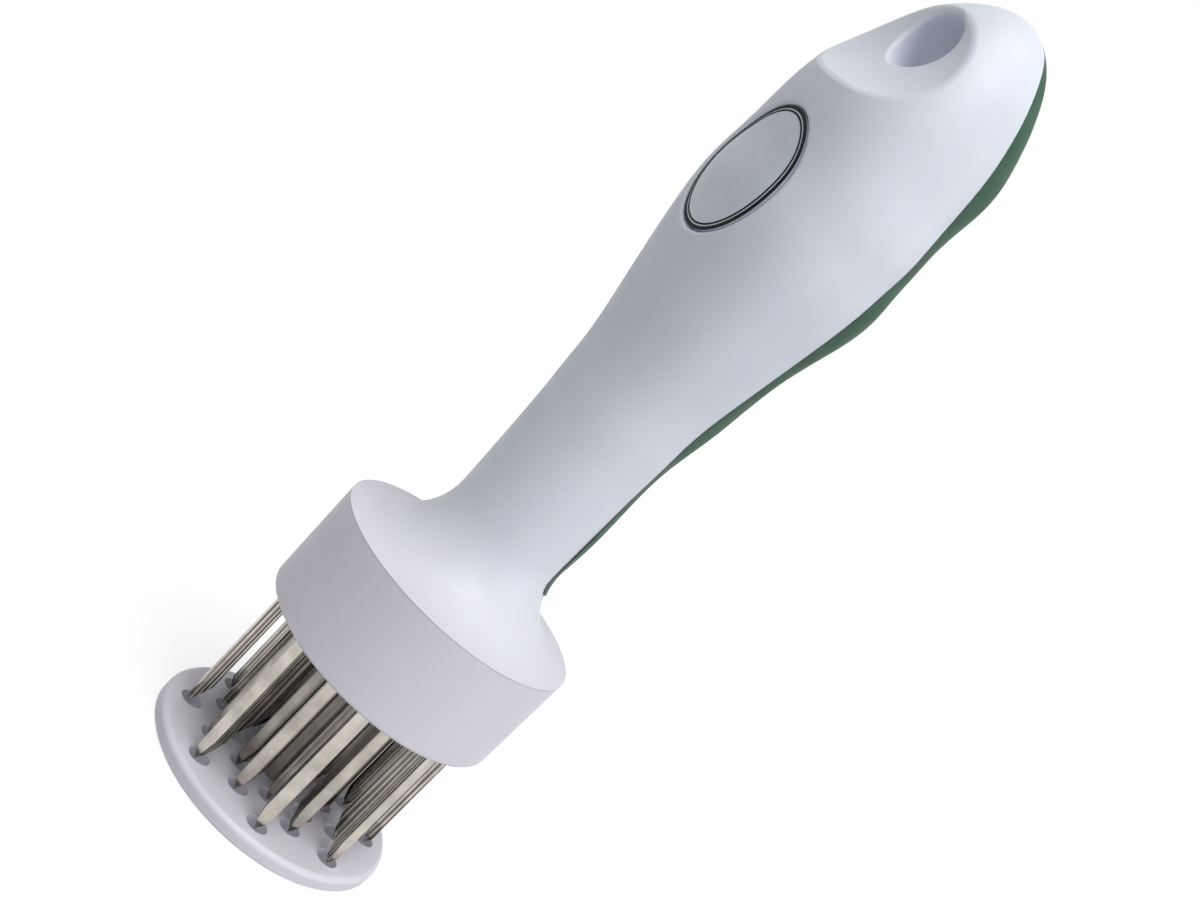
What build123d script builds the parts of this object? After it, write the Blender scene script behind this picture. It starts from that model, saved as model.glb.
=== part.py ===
# Blade meat tenderizer: a round head full of fixed blades, with a spring-loaded guard disc.
# Millimetres. The tool stands on its guard disc, the origin is the centre of that disc's
# underside, +Z runs up the handle and the front of the handle faces -Y.
from build123d import *
import os
from math import ceil, cos, pi, sin, sqrt

# ---- driving dimensions: guard disc --------------------------------------------------
DISC_OVERHANG = 0.1              # how far the disc's edge stands outside the head's
DISC_THICKNESS = 3.0
DISC_TOP_ROUND = 1.1
DISC_BOTTOM_CHAMFER = 0.4
BLADE_HOLE_DIAMETER = 4.5
POST_SOCKET_DEPTH = 1.0

# ---- driving dimensions: head --------------------------------------------------------
HEAD_DIAMETER = 50.8
HEAD_DRAFT = 0.4                 # how much smaller the radius is at the bottom rim
HEAD_WALL_HEIGHT = 20.55
HEAD_RIM_ROUND = 0.6
SHOULDER_EDGE_ROUND = 0.9
SHOULDER_RISE = 2.8              # height of the shoulder cone between its edge and the neck
NECK_OVERLAP = 2.4               # how far the shoulder cone runs on inside the neck
NECK_BLEND = 13.5                # concave radius between shoulder and neck
BLADE_GAP = 29.1                 # visible blade length between disc and head
CUP_WALL = 2.1

# ---- driving dimensions: blades ------------------------------------------------------
OUTER_RING_INSET = 5.0           # from the head's edge to the outer ring of blades
RING_STEPS = {"outer": 4, "middle": 3, "inner": 2}      # equal steps away from the axis
RING_PHASES = {"outer": 22.5, "middle": 0.0, "inner": 22.5}
BLADES_PER_RING = 8
BLADE_WIDTH = 2.7                # across the folded web
BLADE_DEPTH = 2.45               # along the flanges
BLADE_WEB = 0.85
BLADE_SLOT = 0.9                 # open side of the folded strip, towards the centre
BLADE_FOLD_ROUND = 0.55
BLADE_POINT_LENGTH = 5.6
BLADE_POINT_SHOULDER = 0.84      # half width of the point where it turns blunter
BLADE_BLUNT_LENGTH = 2.0         # length of the blunter end of the point
BLADE_WEB_BEVEL = 0.7            # how much the point's outer bevel takes off the web
BLADE_TIP_DEPTH = 0.7            # how far the points sit below the disc's top face
BLADE_EAR_SPAN = 4.3
BLADE_EAR_HEIGHT = 1.5

# ---- driving dimensions: blade mounting ----------------------------------------------
CARRIER_RECESS = 1.5             # carrier face above the rim of the head
CARRIER_THICKNESS = 8.0
CLAMP_THICKNESS = 1.5
CLAMP_BORE = 17.0
SLOT_CLEARANCE = 0.05
SCREW_COUNT = 4
SCREW_HEAD_DIAMETER = 4.6
SCREW_HEAD_HEIGHT = 1.9
SCREW_SHANK_DIAMETER = 2.6
SCREW_LENGTH = 14.5
SCREW_DRIVE = 1.5
SCREW_DRIVE_DEPTH = 1.0
SCREW_HEAD_RECESS = 2.3
SCREW_TIP_ROOM = 0.5             # pilot hole beyond the end of the screw
CLAMP_ROOM = 0.3                 # between clamp plate and cup, on the radius

# ---- driving dimensions: guide post, stop and spring ----------------------------------
POST_DIAMETER = 10.0
POST_SPIGOT_DIAMETER = 6.0
RUNNING_CLEARANCE = 0.05         # post in its bush, on the radius
SEAT_CLEARANCE = 0.03            # pieces that are pushed together, on the radius
BUSH_DIAMETER = 13.0
BUSH_FLANGE_DIAMETER = 15.8
COLLAR_DIAMETER = 12.6
COLLAR_THICKNESS = 3.0
CLIP_DIAMETER = 8.8
CLIP_THICKNESS = 0.8
CLIP_GROOVE_DEPTH = 0.6
CLIP_GAP = 3.6
SPIGOT_END = 1.2                 # spigot above the clip
SPIGOT_CHAMFER = 0.4
SPRING_BORE = 13.8
SPRING_WIRE = 1.0
SPRING_DIAMETER = 12.2
SPRING_LENGTH = 48.0
SPRING_TURNS = 7
SPRING_WIRE_SIDES = 6            # facets that stand for the round wire
SPRING_SEAT_THICKNESS = 1.0
SPRING_SEAT_BORE = 7.0
SPRING_SEAT_ROOM = 0.1           # between washer and bore, on the radius
GUARD_SCREW_HEAD = 7.0
GUARD_SCREW_SHANK = 3.4
GUARD_SCREW_LENGTH = 14.0
GUARD_SCREW_SINK = 0.1
GUARD_SCREW_DRIVE = 2.2
GUARD_SCREW_DRIVE_DEPTH = 1.1

# ---- driving dimensions: handle ------------------------------------------------------
# Stations up the handle: height, half width, front depth, back depth, squareness.
# Every height of the handle is measured from the edge of the head's shoulder, the depths
# are measured from the tool's axis, and squareness 2 is a plain ellipse.
HANDLE_STATIONS = [
    (-5.7, 12.0, 12.4, 10.8, 2.0),
    (12.3, 12.0, 12.4, 10.8, 2.0),      # neck
    (30.3, 12.55, 13.0, 10.8, 2.1),
    (48.3, 14.05, 13.95, 10.95, 2.3),
    (64.3, 17.0, 16.1, 12.2, 2.55),
    (80.3, 19.6, 17.9, 14.45, 2.75),    # palm
    (94.3, 20.0, 17.2, 14.05, 2.75),
    (104.9, 19.1, 16.9, 15.0, 2.65),    # the dome starts here
    (118.3, 19.1, 16.9, 15.0, 2.4),
]
DOME_BASE = 104.9
DOME_HEIGHT = 28.9
DOME_POWER = 1.93                # shape of the rounded end: 2 would be an ellipse
DOME_STEPS = (0.16, 0.32, 0.47, 0.61, 0.73, 0.83, 0.905, 0.96, 0.993)
DOME_LEAN = 2.85                 # how far the end of the handle leans back
SECTION_SPACING = 9.0
SECTION_POINTS = 24
GRIP_THICKNESS = 2.6
FINGER_PITCH = 28.9
FINGER_CREST = 80.0              # height of one crest; the others follow at the pitch
FINGER_SWELL = 1.05              # how far a crest stands proud of a valley
GRIP_HEEL = 9.3                  # height where the grip starts
GRIP_HEEL_ROUND = 3.0            # radius where its lower edge turns up the side
GRIP_TOP_RISE = 2.2              # how far above the handle its seam leaves the back
# The grip's side seam: height, and how far behind the axis it runs.
GRIP_SEAM_STATIONS = [
    (GRIP_HEEL, 6.8),
    (25.0, 6.4),
    (50.0, 4.9),
    (70.0, 5.7),
    (104.9, 6.7),
    (118.3, 5.3),
    (128.0, 5.0),
]
HANG_HOLE_DIAMETER = 12.6
HANG_HOLE_HEIGHT = 120.0
HANG_HOLE_ROUND = 0.8
HANG_TUBE_WALL = 1.6             # white ring around the hole at the back
SCOOP_BOTTOM = 105.8
SCOOP_FLOOR_DEPTH = 8.5          # front of the scoop's floor at the hole, from the axis
SCOOP_RADIUS = 25.0
SCOOP_ROUND = 1.6
BADGE_HEIGHT = 85.85
BADGE_LENGTH = 25.6
BADGE_WIDTH = 21.4
BADGE_THICKNESS = 1.2
BADGE_SINK = 0.3
BADGE_CLEARANCE = 0.15
BADGE_RIM_ROUND = 0.8

# ---- sizes and heights that follow from the ones above -------------------------------
DISC_DIAMETER = HEAD_DIAMETER + 2 * DISC_OVERHANG
OUTER_RING_RADIUS = HEAD_DIAMETER / 2 - OUTER_RING_INSET
RING_PITCH = OUTER_RING_RADIUS / RING_STEPS["outer"]
DISC_TOP = DISC_THICKNESS
HEAD_BOTTOM = DISC_TOP + BLADE_GAP
HEAD_TOP = HEAD_BOTTOM + HEAD_WALL_HEIGHT
CARRIER_BOTTOM = HEAD_BOTTOM + CARRIER_RECESS
CARRIER_TOP = CARRIER_BOTTOM + CARRIER_THICKNESS
CUP_FLOOR = CARRIER_TOP + CLAMP_THICKNESS
CUP_RADIUS = HEAD_DIAMETER / 2 - HEAD_DRAFT - CUP_WALL
BLADE_TIP = DISC_TOP - BLADE_TIP_DEPTH
SCREW_SEAT = CARRIER_BOTTOM + SCREW_HEAD_RECESS
SCREW_END = SCREW_SEAT + SCREW_LENGTH
POST_BOTTOM = DISC_TOP - POST_SOCKET_DEPTH
COLLAR_TOP = CUP_FLOOR + COLLAR_THICKNESS
CLIP_TOP = COLLAR_TOP + CLIP_THICKNESS
SPRING_TOP = COLLAR_TOP + SPRING_LENGTH
BORE_END = SPRING_TOP + SPRING_SEAT_THICKNESS
SINK_DEPTH = (GUARD_SCREW_HEAD - GUARD_SCREW_SHANK) / 2 + GUARD_SCREW_SINK
SHOULDER_TOP = HEAD_TOP + SHOULDER_RISE
HANG_HOLE_Z = HEAD_TOP + HANG_HOLE_HEIGHT
BADGE_Z = HEAD_TOP + BADGE_HEIGHT
NECK_HALF_WIDTH = HANDLE_STATIONS[1][1]
OUTSIDE = 40.0                   # clear of every surface, for cutting bodies

os.makedirs("parts", exist_ok=True)


def save(builder, name):
    """Label a finished piece and write it under its node name."""
    builder.part.label = name
    export_step(builder.part, f"parts/{name}.step")


def ring(name):
    """The blade stations of one ring, with local x pointing away from the axis."""
    radius = RING_PITCH * RING_STEPS[name]
    return PolarLocations(radius, BLADES_PER_RING, start_angle=RING_PHASES[name])


def screw_stations():
    """The places of the four screws, midway between blades of the outer ring."""
    return PolarLocations(OUTER_RING_RADIUS, SCREW_COUNT)


# ---- handle form ---------------------------------------------------------------------
def station(height, column):
    """A handle dimension at any height: a smooth cubic through the stations."""
    rows = HANDLE_STATIONS
    last = len(rows) - 2
    index = max(i for i in range(last + 1) if rows[i][0] <= height or i == 0)
    before, low = rows[max(index - 1, 0)], rows[index]
    high, after = rows[index + 1], rows[min(index + 2, len(rows) - 1)]
    span = high[0] - low[0]
    t = (height - low[0]) / span
    slope_low = (high[column] - before[column]) / (high[0] - before[0]) * span
    slope_high = (after[column] - low[column]) / (after[0] - low[0]) * span
    rise = high[column] - low[column]
    return (
        low[column]
        + slope_low * t
        + (3 * rise - 2 * slope_low - slope_high) * t**2
        + (slope_low + slope_high - 2 * rise) * t**3
    )


def finger_wave(height):
    """How far the grip stands proud of the handle form: crests for the fingers."""
    phase = 2 * pi * (height - FINGER_CREST) / FINGER_PITCH
    return FINGER_SWELL * (1 + cos(phase)) / 2


def handle_section(height, inset, fingers):
    """Draw the handle's outline at one height, smaller all round by the inset."""
    climb = max(height - DOME_BASE, 0.0) / (DOME_HEIGHT - inset)
    shrink = (1 - climb**DOME_POWER) ** (1 / DOME_POWER)
    swell = finger_wave(height) if fingers else 0.0
    half_width = (station(height, 1) - inset) * shrink
    front = (station(height, 2) - inset) * shrink
    back = (station(height, 3) - inset + swell) * shrink
    power = 2 / (station(height, 4) * shrink + 2 * (1 - shrink))
    points = []
    for step in range(SECTION_POINTS):
        turn = 2 * pi * step / SECTION_POINTS
        depth = front if sin(turn) < 0 else back
        x = half_width * abs(cos(turn)) ** power * (1 if cos(turn) >= 0 else -1)
        y = depth * abs(sin(turn)) ** power * (1 if sin(turn) >= 0 else -1)
        points.append((x, y + DOME_LEAN * climb))
    return Spline(points, periodic=True)


def handle_form(inset=0.0, fingers=False):
    """Loft the handle from inside the head to its rounded end."""
    straight = DOME_BASE - HANDLE_STATIONS[0][0]
    count = ceil(straight / SECTION_SPACING)
    heights = [DOME_BASE - straight * (count - i) / count for i in range(count + 1)]
    heights += [DOME_BASE + (DOME_HEIGHT - inset) * step for step in DOME_STEPS]
    with BuildPart() as form:
        for height in heights:
            with BuildSketch(Plane.XY.offset(HEAD_TOP + height)):
                with BuildLine():
                    handle_section(height, inset, fingers)
                make_face()
        loft()
    return form.part


handle_outside = handle_form()
grip_outside = handle_form(fingers=True)
grip_floor = handle_form(inset=GRIP_THICKNESS)
badge_face = handle_form(inset=BADGE_SINK)
badge_floor = handle_form(inset=BADGE_SINK + BADGE_THICKNESS)

# Everything behind the side seam and above the heel belongs to the soft grip.
with BuildPart() as grip_zone:
    with BuildSketch(Plane.YZ) as grip_side:
        with BuildLine():
            seam = Spline(
                *[(depth, HEAD_TOP + height) for height, depth in GRIP_SEAM_STATIONS],
                (OUTSIDE, HEAD_TOP + DOME_BASE + DOME_HEIGHT + GRIP_TOP_RISE),
            )
            Polyline(seam @ 1, (OUTSIDE, HEAD_TOP + GRIP_HEEL), seam @ 0)
        make_face()
        heel_corner = grip_side.vertices().sort_by_distance(seam @ 0)[0]
        fillet(heel_corner, GRIP_HEEL_ROUND)
    extrude(amount=OUTSIDE, both=True)

# ---- cutting bodies for the handle ---------------------------------------------------
with BuildPart() as grip_pocket:
    add(grip_zone)
    add(grip_floor, mode=Mode.SUBTRACT)

# A ring of the white plastic carries the hanging hole through the soft grip.
with BuildPart() as hang_tube:
    with BuildSketch(Plane.XZ):
        with Locations((0, HANG_HOLE_Z)):
            Circle(HANG_HOLE_DIAMETER / 2 + HANG_TUBE_WALL)
    extrude(amount=-OUTSIDE)

with BuildPart() as hang_ring:
    add(hang_tube)
    add(handle_outside, mode=Mode.INTERSECT)

with BuildPart() as badge_pocket:
    with BuildSketch(Plane.XZ):
        with Locations((0, BADGE_Z)):
            Ellipse(BADGE_WIDTH / 2 + BADGE_CLEARANCE, BADGE_LENGTH / 2 + BADGE_CLEARANCE)
    extrude(amount=OUTSIDE)
    add(badge_floor, mode=Mode.SUBTRACT)


def scoop_centre():
    """The centre of the scoop's arc, from two points of its floor and its radius."""
    low = Vector(-station(SCOOP_BOTTOM, 2), HEAD_TOP + SCOOP_BOTTOM)
    high = Vector(-SCOOP_FLOOR_DEPTH, HANG_HOLE_Z)
    chord = high - low
    reach = sqrt(SCOOP_RADIUS**2 - (chord.length / 2) ** 2)
    outward = Vector(-chord.Y, chord.X).normalized()
    return (low + high) / 2 + outward * reach


def on_head(form):
    """Stand a handle form on the round head, with a wide concave blend at the neck."""
    with BuildPart() as body:
        with BuildSketch(Plane.XZ) as head_profile:
            with BuildLine():
                Polyline(
                    (0, HEAD_BOTTOM),
                    (HEAD_DIAMETER / 2 - HEAD_DRAFT, HEAD_BOTTOM),
                    (HEAD_DIAMETER / 2, HEAD_TOP),
                    (NECK_HALF_WIDTH - NECK_OVERLAP, SHOULDER_TOP),
                    (0, SHOULDER_TOP),
                    close=True,
                )
            make_face()
            rim_corners = head_profile.vertices().group_by(Axis.X)
            fillet(rim_corners[-2], HEAD_RIM_ROUND)
            fillet(rim_corners[-1], SHOULDER_EDGE_ROUND)
        revolve(axis=Axis.Z)
        add(form)
        neck_edges = body.edges().filter_by_position(Axis.Z, HEAD_TOP, SHOULDER_TOP)
        neck_edges = neck_edges.sort_by(lambda edge: edge.distance_to((0, 0, HEAD_TOP)))
        fillet(neck_edges[0], NECK_BLEND)
    return body.part


shell_body = on_head(handle_outside)
grip_body = on_head(grip_outside)

# ---- handle shell: the white handle and the cup of the head, moulded in one ----------
with BuildPart() as handle_shell:
    add(shell_body)
    add(grip_pocket, mode=Mode.SUBTRACT)
    add(hang_ring)
    # scoop and hanging hole
    with BuildSketch(Plane.YZ):
        with Locations(scoop_centre()):
            Circle(SCOOP_RADIUS)
    extrude(amount=OUTSIDE, both=True, mode=Mode.SUBTRACT)
    fillet(handle_shell.edges(Select.LAST).sort_by(Axis.Y)[0], SCOOP_ROUND)
    with BuildSketch(Plane.XZ):
        with Locations((0, HANG_HOLE_Z)):
            Circle(HANG_HOLE_DIAMETER / 2)
    extrude(amount=OUTSIDE, both=True, mode=Mode.SUBTRACT)
    hole_rims = handle_shell.edges(Select.LAST).sort_by(Axis.Y)
    fillet([hole_rims[0], hole_rims[-1]], HANG_HOLE_ROUND)
    add(badge_pocket, mode=Mode.SUBTRACT)
    fillet(handle_shell.edges(Select.LAST).sort_by(Axis.Y)[0], BADGE_RIM_ROUND)
    # cup, spring bore and screw holes
    with BuildSketch(Plane.XY.offset(HEAD_BOTTOM)):
        Circle(CUP_RADIUS)
    extrude(amount=CUP_FLOOR - HEAD_BOTTOM, mode=Mode.SUBTRACT)
    with BuildSketch(Plane.XY.offset(CUP_FLOOR)):
        Circle(SPRING_BORE / 2)
    extrude(amount=BORE_END - CUP_FLOOR, mode=Mode.SUBTRACT)
    with BuildSketch(Plane.XY.offset(CUP_FLOOR)):
        with screw_stations():
            Circle(SCREW_SHANK_DIAMETER / 2 + SEAT_CLEARANCE)
    extrude(amount=SCREW_END - CUP_FLOOR + SCREW_TIP_ROOM, mode=Mode.SUBTRACT)
save(handle_shell, "handle_shell")

# ---- soft grip: wavy finger side moulded over the shell ------------------------------
with BuildPart() as soft_grip:
    add(grip_body)
    add(grip_pocket, mode=Mode.INTERSECT)
    add(hang_tube, mode=Mode.SUBTRACT)
save(soft_grip, "soft_grip")

# ---- badge plate: plain oval inlay that follows the curve of the palm -----------------
with BuildPart() as badge_plate:
    with BuildSketch(Plane.XZ):
        with Locations((0, BADGE_Z)):
            Ellipse(BADGE_WIDTH / 2, BADGE_LENGTH / 2)
    extrude(amount=OUTSIDE)
    add(badge_face, mode=Mode.INTERSECT)
    add(badge_floor, mode=Mode.SUBTRACT)
save(badge_plate, "badge_plate")

# ---- blade: folded steel strip, open towards the tool's axis, ground to a spear point --
POINT_END = BLADE_TIP + BLADE_POINT_LENGTH
with BuildPart() as blade:
    with BuildSketch(Plane.XY.offset(BLADE_TIP)) as strip:
        Rectangle(BLADE_DEPTH, BLADE_WIDTH)
        fillet(strip.vertices().group_by(Axis.X)[-1], BLADE_FOLD_ROUND)
        with Locations((-BLADE_WEB / 2, 0)):
            Rectangle(BLADE_DEPTH - BLADE_WEB, BLADE_SLOT, mode=Mode.SUBTRACT)
    extrude(amount=CARRIER_TOP - BLADE_TIP)
    with BuildSketch(Plane.XY.offset(CARRIER_TOP)):
        with Locations(((BLADE_DEPTH - BLADE_WEB) / 2, 0)):
            Rectangle(BLADE_WEB, BLADE_EAR_SPAN)
    extrude(amount=-BLADE_EAR_HEIGHT)
    # bevels on both flanks
    with BuildSketch(Plane.YZ):
        with BuildLine():
            Polyline(
                (0, BLADE_TIP),
                (BLADE_POINT_SHOULDER, BLADE_TIP + BLADE_BLUNT_LENGTH),
                (BLADE_WIDTH / 2, POINT_END),
                (BLADE_EAR_SPAN, POINT_END),
                (BLADE_EAR_SPAN, CARRIER_TOP),
                (0, CARRIER_TOP),
            )
            mirror(about=Plane.YZ)
        make_face()
    extrude(amount=BLADE_DEPTH, both=True, mode=Mode.INTERSECT)
    # bevels on the web and on the open side
    with BuildSketch(Plane.XZ):
        with BuildLine():
            Polyline(
                (BLADE_DEPTH / 2 - BLADE_WEB_BEVEL, BLADE_TIP),
                (BLADE_DEPTH / 2, BLADE_TIP + BLADE_BLUNT_LENGTH),
                (BLADE_DEPTH / 2, CARRIER_TOP),
                (-BLADE_DEPTH / 2, CARRIER_TOP),
                (-BLADE_DEPTH / 2, POINT_END),
                close=True,
            )
        make_face()
    extrude(amount=BLADE_EAR_SPAN, both=True, mode=Mode.INTERSECT)

for ring_name in RING_STEPS:
    for number, place in enumerate(ring(ring_name), start=1):
        with BuildPart() as placed_blade:
            with Locations(place):
                add(blade)
        save(placed_blade, f"blade_{ring_name}_{number}")

# ---- blade carrier: the plug in the head that the blades hang in ----------------------
web_outside = OUTER_RING_RADIUS + BLADE_DEPTH / 2
with BuildPart() as blade_carrier:
    with BuildSketch(Plane.XY.offset(CARRIER_BOTTOM)):
        Circle(CUP_RADIUS - SEAT_CLEARANCE)
        Circle(BUSH_DIAMETER / 2 + SEAT_CLEARANCE, mode=Mode.SUBTRACT)
        for ring_name in RING_STEPS:
            with ring(ring_name):
                slot_depth = BLADE_DEPTH + 2 * SLOT_CLEARANCE
                slot_width = BLADE_WIDTH + 2 * SLOT_CLEARANCE
                Rectangle(slot_depth, slot_width, mode=Mode.SUBTRACT)
        with screw_stations():
            Circle(SCREW_SHANK_DIAMETER / 2 + SLOT_CLEARANCE, mode=Mode.SUBTRACT)
    extrude(amount=CARRIER_THICKNESS)
    # one ring-shaped recess for the ears of all blades
    with BuildSketch(Plane.XY.offset(CARRIER_TOP)):
        Circle(sqrt(web_outside**2 + (BLADE_EAR_SPAN / 2) ** 2) + SLOT_CLEARANCE)
        Circle(BUSH_FLANGE_DIAMETER / 2 + SLOT_CLEARANCE, mode=Mode.SUBTRACT)
    extrude(amount=-BLADE_EAR_HEIGHT, mode=Mode.SUBTRACT)
    with BuildSketch(Plane.XY.offset(CARRIER_BOTTOM)):
        with screw_stations():
            Circle(SCREW_HEAD_DIAMETER / 2 + SLOT_CLEARANCE)
    extrude(amount=SCREW_HEAD_RECESS, mode=Mode.SUBTRACT)
save(blade_carrier, "blade_carrier")

# ---- clamp plate: steel disc that traps the ears of the blades ------------------------
with BuildPart() as clamp_plate:
    with BuildSketch(Plane.XY.offset(CARRIER_TOP)):
        Circle(CUP_RADIUS - CLAMP_ROOM)
        Circle(CLAMP_BORE / 2, mode=Mode.SUBTRACT)
        with screw_stations():
            Circle(SCREW_SHANK_DIAMETER / 2 + SLOT_CLEARANCE, mode=Mode.SUBTRACT)
    extrude(amount=CLAMP_THICKNESS)
save(clamp_plate, "clamp_plate")

# ---- carrier screws: cup-head screws from below, through carrier and plate ------------
with BuildPart() as carrier_screws:
    with BuildSketch(Plane.XY.offset(SCREW_SEAT)):
        with screw_stations():
            Circle(SCREW_HEAD_DIAMETER / 2)
    extrude(amount=-SCREW_HEAD_HEIGHT)
    with BuildSketch(Plane.XY.offset(SCREW_SEAT)):
        with screw_stations():
            Circle(SCREW_SHANK_DIAMETER / 2)
    extrude(amount=SCREW_LENGTH)
    with BuildSketch(Plane.XY.offset(SCREW_SEAT - SCREW_HEAD_HEIGHT)):
        with screw_stations():
            RegularPolygon(SCREW_DRIVE / 2, 6, major_radius=False)
    extrude(amount=SCREW_DRIVE_DEPTH, mode=Mode.SUBTRACT)
save(carrier_screws, "carrier_screws")

# ---- guide bush: flanged plain bearing for the post -----------------------------------
with BuildPart() as guide_bush:
    with BuildSketch(Plane.XY.offset(CARRIER_BOTTOM)):
        Circle(BUSH_DIAMETER / 2)
    extrude(amount=CARRIER_THICKNESS)
    with BuildSketch(Plane.XY.offset(CARRIER_TOP)):
        Circle(BUSH_FLANGE_DIAMETER / 2)
    extrude(amount=CLAMP_THICKNESS)
    with BuildSketch(Plane.XY.offset(CARRIER_BOTTOM)):
        Circle(POST_DIAMETER / 2 + RUNNING_CLEARANCE)
    extrude(amount=CUP_FLOOR - CARRIER_BOTTOM, mode=Mode.SUBTRACT)
save(guide_bush, "guide_bush")

# ---- guard disc: foot plate that the blades pass through ------------------------------
with BuildPart() as guard_disc:
    with BuildSketch():
        Circle(DISC_DIAMETER / 2)
    extrude(amount=DISC_THICKNESS)
    fillet(guard_disc.edges().sort_by(Axis.Z)[-1], DISC_TOP_ROUND)
    chamfer(guard_disc.edges().sort_by(Axis.Z)[0], DISC_BOTTOM_CHAMFER)
    with BuildSketch():
        for ring_name in RING_STEPS:
            with ring(ring_name):
                Circle(BLADE_HOLE_DIAMETER / 2)
        Circle(GUARD_SCREW_SHANK / 2 + SEAT_CLEARANCE)
    extrude(amount=DISC_THICKNESS, mode=Mode.SUBTRACT)
    with BuildSketch(Plane.XY.offset(DISC_TOP)):
        Circle(POST_DIAMETER / 2 + SEAT_CLEARANCE)
    extrude(amount=-POST_SOCKET_DEPTH, mode=Mode.SUBTRACT)
    with BuildSketch(Plane.XZ):
        with BuildLine():
            Polyline(
                (0, 0),
                (GUARD_SCREW_SHANK / 2 + SINK_DEPTH + SEAT_CLEARANCE, 0),
                (GUARD_SCREW_SHANK / 2 + SEAT_CLEARANCE, SINK_DEPTH),
                (0, SINK_DEPTH),
                close=True,
            )
        make_face()
    revolve(axis=Axis.Z, mode=Mode.SUBTRACT)
save(guard_disc, "guard_disc")

# ---- guide post: carries the disc and slides in the bush ------------------------------
with BuildPart() as guide_post:
    with BuildSketch(Plane.XY.offset(POST_BOTTOM)):
        Circle(POST_DIAMETER / 2)
    extrude(amount=CUP_FLOOR - POST_BOTTOM)
    with BuildSketch(Plane.XY.offset(CUP_FLOOR)):
        Circle(POST_SPIGOT_DIAMETER / 2)
    extrude(amount=CLIP_TOP + SPIGOT_END - CUP_FLOOR)
    chamfer(guide_post.edges().sort_by(Axis.Z)[-1], SPIGOT_CHAMFER)
    with BuildSketch(Plane.XY.offset(COLLAR_TOP)):
        Circle(POST_SPIGOT_DIAMETER / 2 + SEAT_CLEARANCE)
        Circle(POST_SPIGOT_DIAMETER / 2 - CLIP_GROOVE_DEPTH, mode=Mode.SUBTRACT)
    extrude(amount=CLIP_THICKNESS + SEAT_CLEARANCE, mode=Mode.SUBTRACT)
    with BuildSketch(Plane.XY.offset(POST_BOTTOM)):
        Circle(GUARD_SCREW_SHANK / 2 + SEAT_CLEARANCE)
    extrude(amount=GUARD_SCREW_LENGTH, mode=Mode.SUBTRACT)
save(guide_post, "guide_post")

# ---- guard screw: countersunk from below, holds the disc to the post ------------------
with BuildPart() as guard_screw:
    with BuildSketch(Plane.XZ):
        with BuildLine():
            Polyline(
                (0, GUARD_SCREW_SINK),
                (GUARD_SCREW_HEAD / 2, GUARD_SCREW_SINK),
                (GUARD_SCREW_SHANK / 2, SINK_DEPTH),
                (GUARD_SCREW_SHANK / 2, GUARD_SCREW_SINK + GUARD_SCREW_LENGTH),
                (0, GUARD_SCREW_SINK + GUARD_SCREW_LENGTH),
                close=True,
            )
        make_face()
    revolve(axis=Axis.Z)
    with BuildSketch(Plane.XY.offset(GUARD_SCREW_SINK)):
        RegularPolygon(GUARD_SCREW_DRIVE / 2, 6, major_radius=False)
    extrude(amount=GUARD_SCREW_DRIVE_DEPTH, mode=Mode.SUBTRACT)
save(guard_screw, "guard_screw")

# ---- stop collar: rests on the bush and keeps the guard in the head --------------------
with BuildPart() as stop_collar:
    with BuildSketch(Plane.XY.offset(CUP_FLOOR)):
        Circle(COLLAR_DIAMETER / 2)
        Circle(POST_SPIGOT_DIAMETER / 2 + SEAT_CLEARANCE, mode=Mode.SUBTRACT)
    extrude(amount=COLLAR_THICKNESS)
save(stop_collar, "stop_collar")

# ---- retaining clip: snaps into the groove above the collar ----------------------------
with BuildPart() as retaining_clip:
    with BuildSketch(Plane.XY.offset(COLLAR_TOP)):
        Circle(CLIP_DIAMETER / 2)
        Circle(POST_SPIGOT_DIAMETER / 2 - CLIP_GROOVE_DEPTH + SEAT_CLEARANCE, mode=Mode.SUBTRACT)
        with Locations((CLIP_DIAMETER / 2, 0)):
            Rectangle(CLIP_DIAMETER, CLIP_GAP, mode=Mode.SUBTRACT)
    extrude(amount=CLIP_THICKNESS)
save(retaining_clip, "retaining_clip")

# ---- return spring: compression spring with ground ends -------------------------------
with BuildPart() as return_spring:
    with BuildLine():
        pitch = SPRING_LENGTH / SPRING_TURNS
        coil_radius = (SPRING_DIAMETER - SPRING_WIRE) / 2
        coil = Helix(pitch, SPRING_LENGTH, coil_radius, center=(0, 0, COLLAR_TOP))
    with BuildSketch(Plane(origin=coil @ 0, z_dir=coil % 0)):
        RegularPolygon(SPRING_WIRE / 2, SPRING_WIRE_SIDES)
    sweep(is_frenet=True)
    split(bisect_by=Plane.XY.offset(COLLAR_TOP), keep=Keep.TOP)
    split(bisect_by=Plane.XY.offset(SPRING_TOP), keep=Keep.BOTTOM)
save(return_spring, "return_spring")

# ---- spring seat: washer between the spring and the end of its bore --------------------
with BuildPart() as spring_seat:
    with BuildSketch(Plane.XY.offset(SPRING_TOP)):
        Circle(SPRING_BORE / 2 - SPRING_SEAT_ROOM)
        Circle(SPRING_SEAT_BORE / 2, mode=Mode.SUBTRACT)
    extrude(amount=SPRING_SEAT_THICKNESS)
save(spring_seat, "spring_seat")
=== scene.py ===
"""Blade meat tenderizer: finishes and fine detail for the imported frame, in a plain pale studio."""

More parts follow.
